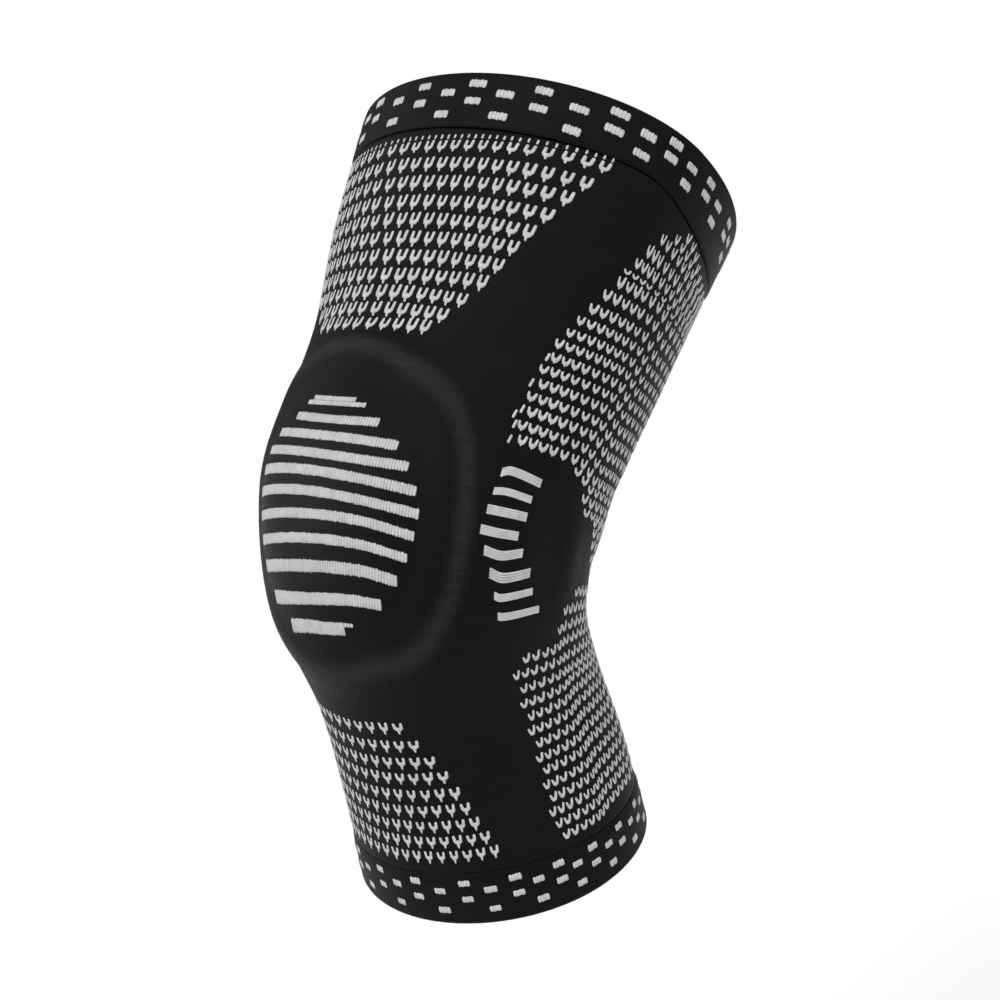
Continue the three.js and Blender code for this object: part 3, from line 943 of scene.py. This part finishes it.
def calf_ticks():
    """Places of the ticks on the calf's front."""
    ticks = []
    for middle, end, last, pitch in CALF_TICK_ROWS:
        centre = float(centre_turn(middle))
        for turn in whole_row(np.array([last]), centre, pitch):
            along = float(np.interp(max(turn, 2 * centre - turn), [0.0, last], [middle, end]))
            ticks.append((along, turn, pitch / CALF_TICK_PITCH, 1))
    return ticks


def both_sides(along, turn, centre, width, height):
    """A place on one side of the rear, and its copy on the other side."""
    return [(along, turn, width, height), (along, 1 + 2 * centre - turn, width, height)]


def closed_up(turns, centre, pitch):
    """The turns of a row that lie on this side of the rear, spread so that the row meets its copy."""
    last = 0.5 + centre - 0.5 * pitch
    turns = np.array([turn for turn in turns if turn < last + 0.5 * pitch])
    spread = (last - REAR_START) / (turns[-1] - REAR_START)
    return np.where(turns > REAR_START, REAR_START + (turns - REAR_START) * spread, turns)


def thigh_loops():
    """Places of the loops at the rear of the thigh. The rows drop where the cloth bends round the side."""
    found = []
    for along, first, pitch, height in THIGH_LOOP_ROWS:
        bend = THIGH_BEND_TURN + THIGH_BEND_LEAN * (along - THIGH_BEND_FROM)
        turns, centre = [first], float(centre_turn(along))
        while turns[-1] < ROWS_END:
            wider = float(smooth_step(turns[-1], WIDENING_FROM, REAR_START)) * (REAR_WIDENING - 1)
            turns.append(turns[-1] + pitch * (1 + wider))
        low, high = THIGH_SHIFTED_ROWS
        nearest, reach = THIGH_SHIFTED_LOOPS
        for k, turn in enumerate(closed_up(turns, centre, REAR_WIDENING * pitch)):
            shift = THIGH_EDGE_SHIFT * float(bump((k - nearest) / reach)) if low < along < high else 0
            fall = THIGH_EDGE_FALL * max(0, min(turn, THIGH_EDGE_END) - first)
            drop = THIGH_BEND_DROP * float(smooth_step(turn - bend, *THIGH_BEND_SPAN)) + fall
            found += both_sides(along - drop, turn + shift, centre, pitch / LOOP_PITCH, height)
    return found


def calf_loops():
    """Places of the loops at the rear of the calf. The rows rise where the cloth bends round the side."""
    found = []
    for row, (along, first) in enumerate(CALF_LOOP_ROWS):
        columns = np.array(CALF_LOOP_COLUMNS[row % 2])
        pitches = np.gradient(columns)
        centre = float(centre_turn(along))
        turns = closed_up(columns - CALF_LEAN * max(0, CALF_LEAN_BELOW - along), centre, pitches[-1])
        steep = 1 - FLATNESS * float(bump((along - FLAT_ROWS_AT) / FLAT_ROWS_REACH))
        for k, turn in enumerate(turns):
            if k < first - 0.3:
                continue
            lift = CALF_BEND_RISE * steep * smooth_step(turn, *CALF_BEND_TURNS)
            lift -= CALF_REAR_DROP * smooth_step(turn, *CALF_DROP_TURNS)
            found += both_sides(along + float(lift), float(turn), centre, pitches[k] / LOOP_PITCH, 1)
    return found


def stripe_ribs():
    """Places of the upright ribs that make the stripes over the kneecap."""
    ribs = []
    for *path, left, right in KNEE_STRIPES:
        along, turn = np.array(path).T
        count = max(2, round((turn[-1] - turn[0]) * KNEE_GIRTH / RIB_PITCH))
        steps = np.linspace(turn[0], turn[-1], count)
        share = np.interp(steps, turn, np.linspace(0, 1, len(turn)))
        for step, height in zip(steps, through(along[:, None], share)[:, 0]):
            thickness = np.interp(step, [turn[0], turn[-1]], [left, right])
            ribs.append((float(height), float(step), 1, float(thickness) / RIB_HEIGHT))
    return ribs


def block_places(blocks, crowding):
    """Places of the blocks round a cuff, in four rows of which two and two share their columns. Crowding
    is how far the rows draw together towards the rim at the side, as a share of their distance from it."""
    found = []
    start, end = CROWDING_TURNS
    for rank, key in enumerate(("upper", "lower")):
        turns = list(blocks[key])
        left = 1 + turns[0] - turns[-1]
        turns += [turns[-1] + left * (k + 1) / (blocks["more"] + 1) for k in range(blocks["more"])]
        for turn in turns:
            wide = BLOCK_FRONT_WIDTH if BLOCK_FRONT[0] < turn < BLOCK_FRONT[1] else BLOCK_WIDTH
            beside = float(smooth_step(turn, start, end) * (1 - smooth_step(turn, 1 - end, 1 - start)))
            for level in (blocks["levels"][rank], blocks["levels"][rank + 2]):
                nearer = crowding * beside * (blocks["levels"][0] - level)
                found.append((level + nearer, turn, wide, blocks["up"]))
    return found


def dash_lines(name, radius):
    """Lines that the yarn of the side dashes follows, on both sides of the knee."""
    vertices, edges = [], []
    for front, bend, rear, thickness in SIDE_DASHES:
        for side in (1, -1):
            for strand in range(DASH_STRANDS):
                offset = (strand / (DASH_STRANDS - 1) - 0.5) * (thickness - 2 * radius)
                path = through(np.array([front, bend, rear]), np.linspace(0, 1, DASH_POINTS))
                points = knit_point(path[:, 0] + offset, side * path[:, 1], DASH_DEPTH)
                first = len(vertices)
                vertices += [tuple(p) for p in points]
                edges += [(first + k, first + k + 1) for k in range(len(points) - 1)]
    mesh = bpy.data.meshes.new(name)
    mesh.from_pydata(vertices, edges, [])
    piece = bpy.data.objects.new(name, mesh)
    bpy.context.scene.collection.objects.link(piece)
    return piece


def finish_named(slot):
    """The finish for a slot name, made the first time it is asked for."""
    name = slot + "_finish"
    if name in bpy.data.materials:
        return bpy.data.materials[name]
    colours = bpy.context.scene.sleeve_colours
    cloth = bpy.context.scene.sleeve_cloth
    groups = bpy.data.node_groups
    knit = groups.get("Knit stitches") or knit_group()
    yarn = groups.get("Twisted yarn") or yarn_group()
    rows = cloth.row_pitch, cloth.stitch_depth
    if slot == "black_knit":
        return knit_material(name, colours.knit, knit, cloth.column_pitch, *rows)
    if slot == "black_welt":
        return knit_material(name, colours.welt, knit, cloth.welt_coarseness * cloth.column_pitch, *rows)
    if slot == "white_yarn":
        return grained_material(name, colours.yarn, yarn, *YARN_GRAIN)
    if slot == "gel_pad":
        return grained_material(name, colours.gel, yarn, *GEL_GRAIN)
    raise KeyError(slot)


def stitched(name, figure, rows, seed, depth=0.0):
    """Stitch figures set on places of the cloth, as one plain mesh piece."""
    look = bpy.context.scene.sleeve_figures
    tree = bpy.data.node_groups.get("Stitch figures") or stitch_tree("Stitch figures")
    shape = stitch_figure(name + "_figure", figure, look.lift, look.bed)
    piece = places(name, rows, depth)
    finish = finish_named("white_yarn")
    grown(piece, tree, Figure=shape, Size=1.0, Unevenness=look.unevenness, Seed=seed, Finish=finish)
    mesh = shape.data
    bpy.data.objects.remove(shape)
    bpy.data.meshes.remove(mesh)
    return dressed(piece, "white_yarn")


class SleeveCloth(bpy.types.PropertyGroup):
    """Sizes of the knitted cloth."""

    columns: bpy.props.IntProperty(
        name="Columns", description="Faces round the cloth", default=256, min=48, max=512)
    row_step: bpy.props.FloatProperty(
        name="Row step", default=1.3,
        description="Height of a face of the cloth's outer side, in millimetres")
    inner_step: bpy.props.FloatProperty(
        name="Inner step", default=4.0,
        description="Height of a face of the cloth's inner side, in millimetres")
    column_pitch: bpy.props.FloatProperty(
        name="Column pitch", description="Width of a column of stitches",
        default=0.0011, unit="LENGTH", precision=5)
    row_pitch: bpy.props.FloatProperty(
        name="Row pitch", description="Height of a row of stitches",
        default=0.00078, unit="LENGTH", precision=5)
    stitch_depth: bpy.props.FloatProperty(
        name="Stitch depth", description="Depth of the grooves between stitches",
        default=0.00018, unit="LENGTH", precision=5)
    welt_coarseness: bpy.props.FloatProperty(
        name="Cuff coarseness", default=1.15,
        description="Width of the cuffs' columns of stitches as a share of the body's")


class SleeveFigures(bpy.types.PropertyGroup):
    """Sizes of the white yarn figures."""

    lift: bpy.props.FloatProperty(
        name="Lift", description="How far the yarn stands over the cloth, in millimetres", default=0.28)
    bed: bpy.props.FloatProperty(
        name="Bed", description="How far the yarn goes into the cloth, in millimetres", default=0.5)
    unevenness: bpy.props.FloatProperty(
        name="Unevenness", description="How much the figures differ in size", default=0.08, min=0, max=0.5)
    strand_radius: bpy.props.FloatProperty(
        name="Strand radius", description="Radius of the dashes' yarn, in millimetres", default=0.5)


class SleeveColours(bpy.types.PropertyGroup):
    """Colours of the cloth, the yarn, the ring and the floor."""

    knit: bpy.props.FloatVectorProperty(
        name="Knit", description="Colour of the black knit", subtype="COLOR",
        default=(0.0026, 0.0026, 0.0027))
    welt: bpy.props.FloatVectorProperty(
        name="Cuffs", description="Colour of the cuffs", subtype="COLOR",
        default=(0.0026, 0.0026, 0.0027))
    yarn: bpy.props.FloatVectorProperty(
        name="Yarn", description="Colour of the white yarn", subtype="COLOR",
        default=(0.485, 0.485, 0.48))
    gel: bpy.props.FloatVectorProperty(
        name="Ring", description="Colour of the padded ring", subtype="COLOR",
        default=(0.06, 0.06, 0.064))
    floor: bpy.props.FloatVectorProperty(
        name="Floor", description="Colour of the floor", subtype="COLOR",
        default=(0.985, 0.985, 0.985))


class SleeveStage(bpy.types.PropertyGroup):
    """The floor, the light and the camera."""

    floor_drop: bpy.props.FloatProperty(
        name="Floor drop", description="How far the floor lies under the calf rim",
        default=0.25, unit="LENGTH")
    floor_reach: bpy.props.FloatProperty(
        name="Floor reach", description="How far the floor goes to each side",
        default=30.0, unit="LENGTH")
    surround: bpy.props.FloatProperty(
        name="Surround", description="Strength of the light from all round", default=0.16)
    light: bpy.props.FloatProperty(
        name="Light", description="Strength of the soft lights, as a share of the table's", default=1.0)
    lens: bpy.props.FloatProperty(
        name="Lens", description="Focal length of the camera in millimetres", default=61.1)
    azimuth: bpy.props.FloatProperty(
        name="Azimuth", description="The camera's way round from the front",
        default=math.radians(40.761), subtype="ANGLE")
    elevation: bpy.props.FloatProperty(
        name="Elevation", description="The camera's height over the horizon",
        default=math.radians(6.826), subtype="ANGLE")
    eye: bpy.props.FloatVectorProperty(
        name="Eye", description="Where the camera stands", subtype="XYZ", unit="LENGTH",
        default=(0.43652, -0.46788, 0.08443))


class SLEEVE_OT_body(bpy.types.Operator):
    """Knits the tube of the sleeve, from seam to seam, over the ring and the folds"""

    bl_idname = "sleeve.body"
    bl_label = "Knit the body"

    def execute(self, context):
        cloth = context.scene.sleeve_cloth
        tongue = FOLD_LINE + CLEARANCE
        low, high = CALF_SEAM + CLEARANCE, THIGH_SEAM - CLEARANCE
        top_end, low_end = THIGH_SEAM + SEAM_LAP - CLEARANCE, CALF_SEAM - SEAM_LAP + CLEARANCE
        profile = rows_between(low, high - BODY_EDGE_START, cloth.row_step, 0)
        profile += [(high - short, depth) for short, depth in BODY_EDGE]
        profile += [(high, tongue), (top_end, tongue)]
        profile += rows_between(top_end, low_end, cloth.inner_step, WALL)
        profile += [(low_end, tongue), (low, tongue)]
        piece = carried_round("knit_body", profile, cloth.columns, finish_named("black_knit"))
        dressed(piece, "black_knit", "sleeve_body")
        return {"FINISHED"}


class SLEEVE_OT_cuffs(bpy.types.Operator):
    """Folds the two cuffs over the ends of the body"""

    bl_idname = "sleeve.cuffs"
    bl_label = "Fold the cuffs"

    def execute(self, context):
        cloth = context.scene.sleeve_cloth
        for name, node, seam, rim in (
            ("thigh_welt", "thigh_cuff", THIGH_SEAM, THIGH_RIM),
            ("calf_welt", "calf_cuff", CALF_SEAM, CALF_RIM),
        ):
            up = math.copysign(1, rim - seam)
            half = CUFF_THICKNESS / 2
            rim_start = rim - up * half
            edge = THIGH_SEAM_EDGE if up > 0 else CALF_SEAM_EDGE
            profile = [(seam, FOLD_LINE - LAP_SLOPE)]
            profile += [(seam + up * reach, depth) for reach, depth in edge]
            even_start = seam + up * (edge[-1][0] + EVEN_AFTER)
            profile += rows_between(even_start, rim_start, cloth.row_step, -CUFF_PROUD)
            for k in range(1, RIM_STEPS):
                angle = math.pi * k / RIM_STEPS
                profile.append((rim_start + up * half * math.sin(angle), FOLD_LINE - half * math.cos(angle)))
            lap_end = seam + up * SEAM_LAP
            profile += rows_between(rim_start, lap_end, CUFF_INNER_STEP, CUFF_THICKNESS - CUFF_PROUD)
            profile += [(lap_end, FOLD_LINE), (seam + up * LAP_SLOPE, FOLD_LINE)]
            if up < 0:
                profile.reverse()
            piece = carried_round(name, profile, cloth.columns, finish_named("black_welt"))
            dressed(piece, "black_welt", node)
        return {"FINISHED"}


class SLEEVE_OT_ring(bpy.types.Operator):
    """Moulds the padded ring round the kneecap, inside the cloth"""

    bl_idname = "sleeve.ring"
    bl_label = "Mould the ring"

    def execute(self, context):
        lanes = [math.cos(math.pi * k / RING_LANES) for k in range(RING_LANES + 1)]
        swell = [(lane, float(bump(lane / RING_ROUND))) for lane in lanes]
        outer = [(lane, WALL + CLEARANCE - RING_SWELL * up) for lane, up in swell]
        inner = [(lane, WALL + RING_EDGE + RING_INSIDE * up) for lane, up in reversed(swell)]
        angle = 2 * np.pi * np.arange(RING_STEPS) / RING_STEPS

        def middle(at):
            height = np.where(np.sin(at) > 0, RING_ABOVE, RING_BELOW)
            return RING_WIDEST + height * np.sin(at), RING_HALF_WIDTH / KNEE_GIRTH * np.cos(at)

        here_a, here_t = middle(angle)
        next_a, next_t = middle(angle + RING_NUDGE)
        last_a, last_t = middle(angle - RING_NUDGE)
        course = np.stack([(next_t - last_t) * KNEE_GIRTH, next_a - last_a], -1)
        course /= np.linalg.norm(course, axis=-1, keepdims=True)
        rows = []
        for lane, depth in outer + inner:
            out = lane * RING_BAND / 2
            along = here_a - out * course[:, 0]
            turn = here_t + out * course[:, 1] / KNEE_GIRTH
            rows.append((tube_point(along, turn) - outward(along, turn) * depth) * MM)
        points = np.stack(rows, 1)
        across = len(rows)
        faces = []
        for i in range(RING_STEPS):
            for j in range(across):
                k, m = (i + 1) % RING_STEPS, (j + 1) % across
                faces.append((i * across + j, k * across + j, k * across + m, i * across + m))
        piece = new_piece("gel_ring", points.reshape(-1, 3), faces, finish_named("gel_pad"))
        dressed(piece, "gel_pad", "kneecap_ring")
        return {"FINISHED"}


class SLEEVE_OT_ticks(bpy.types.Operator):
    """Stitches the ticks on the front of the thigh and of the calf"""

    bl_idname = "sleeve.ticks"
    bl_label = "Stitch the ticks"

    def execute(self, context):
        ticks, dots = thigh_ticks()
        stitched("thigh_ticks", TICK, ticks, 3)
        stitched("thigh_dots", DOT, dots, 5)
        stitched("calf_ticks", TURNED_TICK, calf_ticks(), 8)
        return {"FINISHED"}


class SLEEVE_OT_loops(bpy.types.Operator):
    """Stitches the loops at the rear of the thigh and of the calf"""

    bl_idname = "sleeve.loops"
    bl_label = "Stitch the loops"

    def execute(self, context):
        edge = []
        for along, turn in EDGE_LOOPS:
            edge += both_sides(along, turn, float(centre_turn(along)), 1, 1)
        stitched("thigh_loops", TAILED_LOOP, thigh_loops(), 11)
        stitched("thigh_edge_loops", SLANT, edge, 12)
        stitched("calf_loops", LOOP, calf_loops(), 13)
        return {"FINISHED"}


class SLEEVE_OT_stripes(bpy.types.Operator):
    """Stitches the stripes over the kneecap, rib by rib"""

    bl_idname = "sleeve.stripes"
    bl_label = "Stitch the stripes"

    def execute(self, context):
        stitched("knee_stripes", RIB, stripe_ribs(), 17)
        return {"FINISHED"}


class SLEEVE_OT_dashes(bpy.types.Operator):
    """Lays the yarn of the dashes at both sides of the knee"""

    bl_idname = "sleeve.dashes"
    bl_label = "Lay the dashes"

    def execute(self, context):
        radius = context.scene.sleeve_figures.strand_radius
        piece = dash_lines("side_dashes", radius)
        tree = bpy.data.node_groups.get("Yarn strands") or strand_tree("Yarn strands")
        grown(piece, tree, Yarn_radius=radius * MM, Sides=7, Finish=finish_named("white_yarn"))
        dressed(piece, "white_yarn")
        return {"FINISHED"}


class SLEEVE_OT_blocks(bpy.types.Operator):
    """Stitches the blocks round the cuffs"""

    bl_idname = "sleeve.blocks"
    bl_label = "Stitch the blocks"

    def execute(self, context):
        stitched("thigh_blocks", THIGH_BLOCK, block_places(THIGH_BLOCKS, BLOCK_CROWDING), 19, -CUFF_PROUD)
        stitched("calf_blocks", CALF_BLOCK, block_places(CALF_BLOCKS, 0), 23, -CUFF_PROUD)
        return {"FINISHED"}


class SLEEVE_OT_stage(bpy.types.Operator):
    """Lays the floor, sets the light and stands the camera where the photograph was taken from"""

    bl_idname = "sleeve.stage"
    bl_label = "Set the stage"

    def execute(self, context):
        scene, stage = context.scene, context.scene.sleeve_stage
        low = CAD_BOX[0][2] - stage.floor_drop
        corners = [(x * stage.floor_reach, y * stage.floor_reach, low) for x, y in FLOOR_CORNERS]
        floor = new_piece("floor", corners, [(0, 1, 2, 3)])
        material, tree, shader = material_tree("pale_floor")
        shader.inputs["Base Color"].default_value = (*scene.sleeve_colours.floor, 1)
        shader.inputs["Roughness"].default_value = 1.0
        shader.inputs["Specular IOR Level"].default_value = 0.0
        floor.data.materials.append(material)

        world = bpy.data.worlds.new("surround")
        world.use_nodes = True
        tree = world.node_tree
        surround = tree.nodes["Background"]
        surround.inputs["Color"].default_value = (1, 1, 1, 1)
        surround.inputs["Strength"].default_value = stage.surround
        backdrop = tree.nodes.new("ShaderNodeBackground")
        backdrop.inputs["Color"].default_value = (1, 1, 1, 1)
        seen = tree.nodes.new("ShaderNodeLightPath")
        either = tree.nodes.new("ShaderNodeMixShader")
        tree.links.new(seen.outputs["Is Camera Ray"], either.inputs["Fac"])
        tree.links.new(surround.outputs[0], either.inputs[1])
        tree.links.new(backdrop.outputs[0], either.inputs[2])
        tree.links.new(either.outputs[0], tree.nodes["World Output"].inputs["Surface"])
        scene.world = world

        for name, azimuth, elevation, spread, strength in SOFT_LIGHTS:
            lamp = bpy.data.lights.new(name, "SUN")
            lamp.angle, lamp.energy = math.radians(spread), strength * stage.light
            light = bpy.data.objects.new(name, lamp)
            light.rotation_euler = (math.radians(90 - elevation), 0, math.radians(azimuth))
            scene.collection.objects.link(light)

        camera = bpy.data.objects.new("camera", bpy.data.cameras.new("camera"))
        camera.data.lens, camera.data.sensor_width, camera.data.sensor_fit = stage.lens, 36.0, "HORIZONTAL"
        camera.data.clip_start, camera.data.clip_end = 0.01, 100
        camera.location = stage.eye
        camera.rotation_euler = (math.pi / 2 - stage.elevation, 0, stage.azimuth)
        scene.collection.objects.link(camera)
        scene.camera = camera
        scene.view_settings.view_transform = "Standard"
        scene.view_settings.look = "None"
        return {"FINISHED"}


STEPS = (SLEEVE_OT_stage, SLEEVE_OT_body, SLEEVE_OT_cuffs, SLEEVE_OT_ring, SLEEVE_OT_ticks, SLEEVE_OT_loops,
         SLEEVE_OT_stripes, SLEEVE_OT_dashes, SLEEVE_OT_blocks)
GROUPS = {"sleeve_cloth": SleeveCloth, "sleeve_figures": SleeveFigures, "sleeve_colours": SleeveColours,
          "sleeve_stage": SleeveStage}


class SLEEVE_PT_panel(bpy.types.Panel):
    """The sleeve's steps and sizes"""

    bl_idname = "SLEEVE_PT_panel"
    bl_label = "Knee sleeve"
    bl_space_type = "VIEW_3D"
    bl_region_type = "UI"
    bl_category = "Knee sleeve"

    def draw(self, context):
        for step in STEPS:
            self.layout.operator(step.bl_idname)
        for name, group in GROUPS.items():
            box = self.layout.box()
            for label in group.__annotations__:
                box.prop(getattr(context.scene, name), label)


def register():
    for group in GROUPS.values():
        bpy.utils.register_class(group)
    for name, group in GROUPS.items():
        setattr(bpy.types.Scene, name, bpy.props.PointerProperty(type=group))
    for step in STEPS:
        bpy.utils.register_class(step)
    bpy.utils.register_class(SLEEVE_PT_panel)


def unregister():
    bpy.utils.unregister_class(SLEEVE_PT_panel)
    for step in reversed(STEPS):
        bpy.utils.unregister_class(step)
    for name, group in GROUPS.items():
        delattr(bpy.types.Scene, name)
        bpy.utils.unregister_class(group)


def main():
    register()
    bpy.ops.sleeve.stage()
    bpy.ops.sleeve.body()
    bpy.ops.sleeve.cuffs()
    bpy.ops.sleeve.ring()
    bpy.ops.sleeve.ticks()
    bpy.ops.sleeve.loops()
    bpy.ops.sleeve.stripes()
    bpy.ops.sleeve.dashes()
    bpy.ops.sleeve.blocks()


if __name__ == "__main__":
    main()
